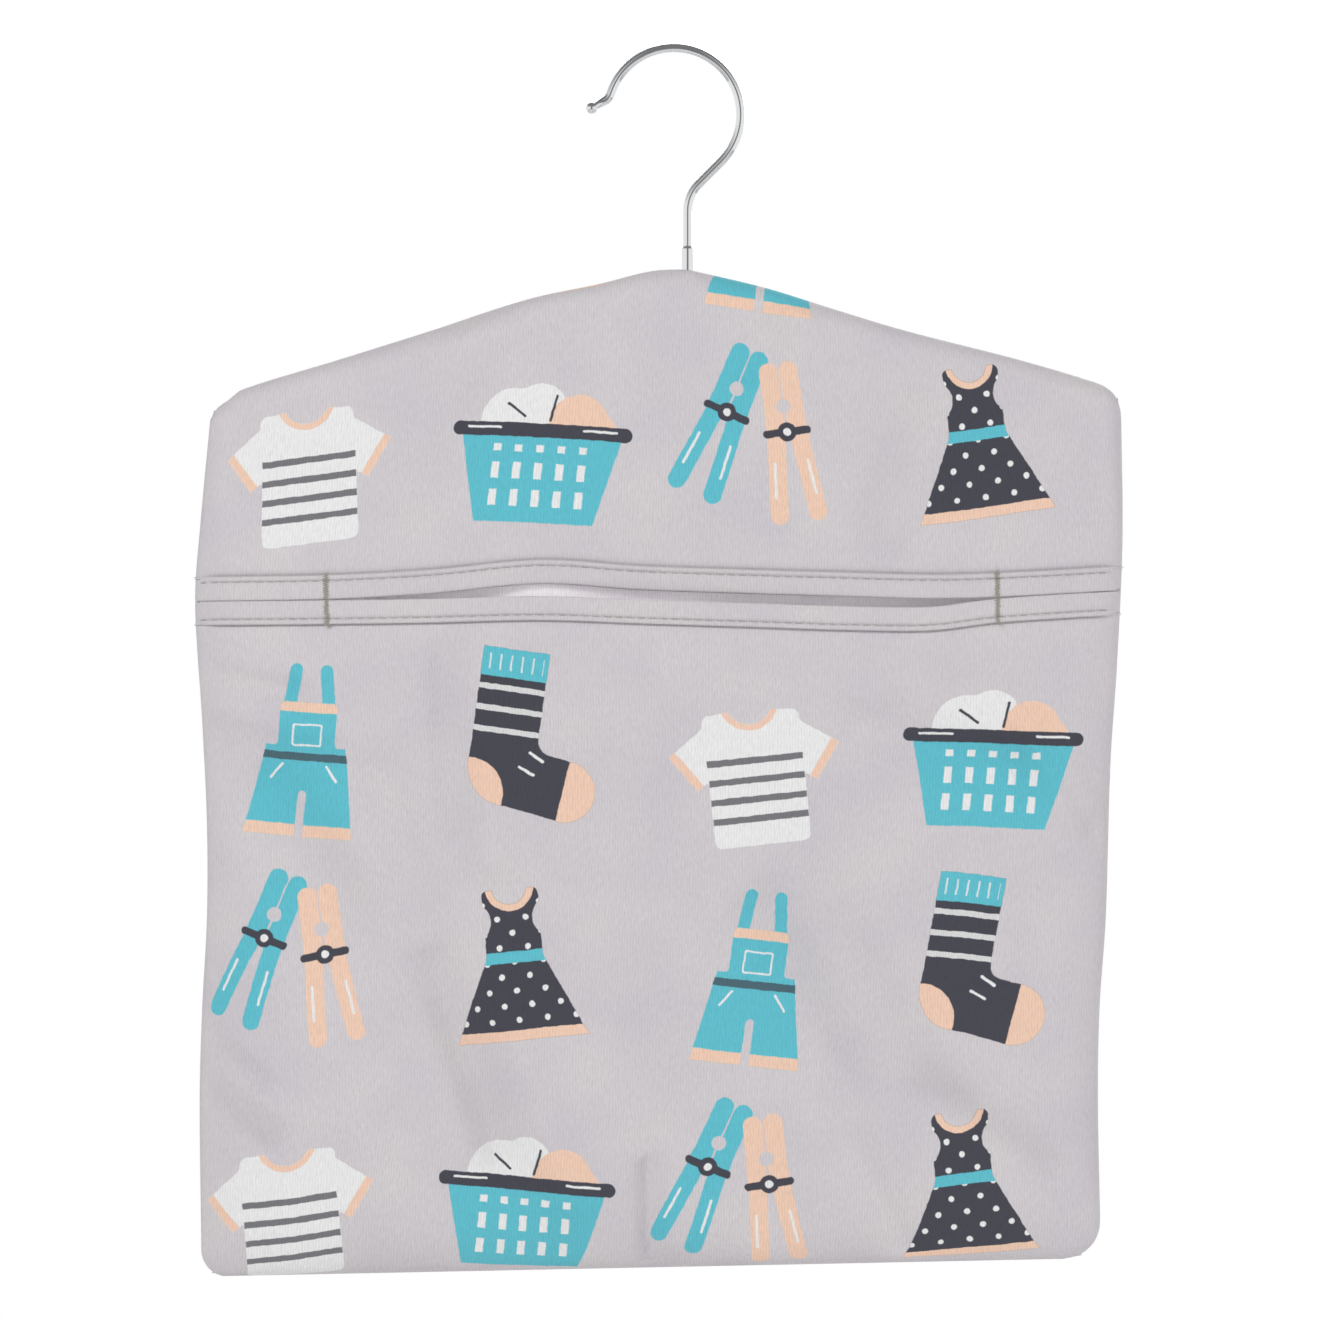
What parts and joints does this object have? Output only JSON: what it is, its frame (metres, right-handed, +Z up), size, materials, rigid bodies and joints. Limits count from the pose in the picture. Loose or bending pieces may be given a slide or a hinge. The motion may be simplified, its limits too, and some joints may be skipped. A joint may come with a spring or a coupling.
{
  "type": "peg bag",
  "caption": "Cotton peg bag sewn over a wooden hanger, with a slit mouth across the front, a deep pouch and a swivelling wire hook.",
  "frame": {"origin": "the point under the top of the hook's crook that rests on a washing line or rail, in the middle of the wire", "axes": "+Z up along the hook's stem, +X to the right as seen from the front, +Y backwards, so that the mouth faces -Y"},
  "size_m": [0.3064, 0.0311, 0.4065],
  "materials": {
    "hook_wire": "bright nickel-plated steel wire",
    "swivel_steel": "plain steel",
    "hanger_wood": "sanded beech, clear lacquer",
    "printed_cotton": "printed cotton twill, matt, white on the reverse",
    "seam_cotton": "white cotton edges bound with thread",
    "thread": "twisted polyester thread, slight sheen"
  },
  "bodies": {
    "hook": {"hook": "hook_wire", "hook_washer": "swivel_steel"},
    "bag": {"hook_bush": "swivel_steel", "hanger": "hanger_wood", "front_upper_panel": "printed_cotton", "front_lower_panel": "printed_cotton", "back_panel": "printed_cotton", "left_side_seam": "seam_cotton", "right_side_seam": "seam_cotton", "bottom_seam": "seam_cotton", "left_bar_tack": "thread", "right_bar_tack": "thread"}
  },
  "joints": [
    {"name": "hook_swivel", "type": "hinge", "parent": "hook", "child": "bag", "pos_m": [0.0045, 0, -0.0875], "axis": [0, 0, 1], "continuous": true}
  ]
}
